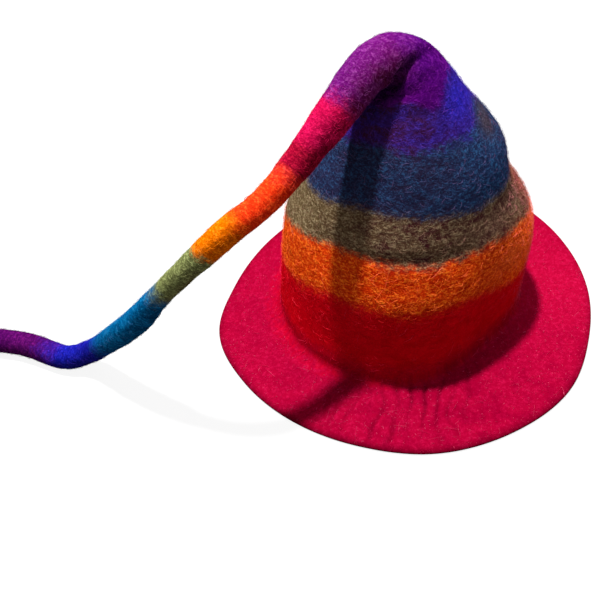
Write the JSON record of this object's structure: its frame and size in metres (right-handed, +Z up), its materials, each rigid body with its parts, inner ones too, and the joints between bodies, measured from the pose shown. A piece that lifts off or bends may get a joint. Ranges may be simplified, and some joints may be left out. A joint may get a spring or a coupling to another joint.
{
  "type": "pointed felt hat",
  "caption": "Seamless wool felt hat with a flat brim, a hollow bell-shaped crown and a long tail folded over at the tip, dyed in soft bands of rainbow colour.",
  "frame": {"origin": "middle of the head opening, on the plane of the surface that the brim lies on", "axes": "+Z up along the crown, -Y to the front, +X to the right seen from the front; the tail runs towards -X"},
  "size_m": [0.4804, 0.3025, 0.2368],
  "materials": {
    "felt": "matte wool felt with loose fibres, dyed in soft bands from a crimson brim through red, orange, olive, teal and blue to purple, and again along the tail"
  },
  "bodies": {
    "root": {"felt_hat": "felt"}
  },
  "joints": []
}
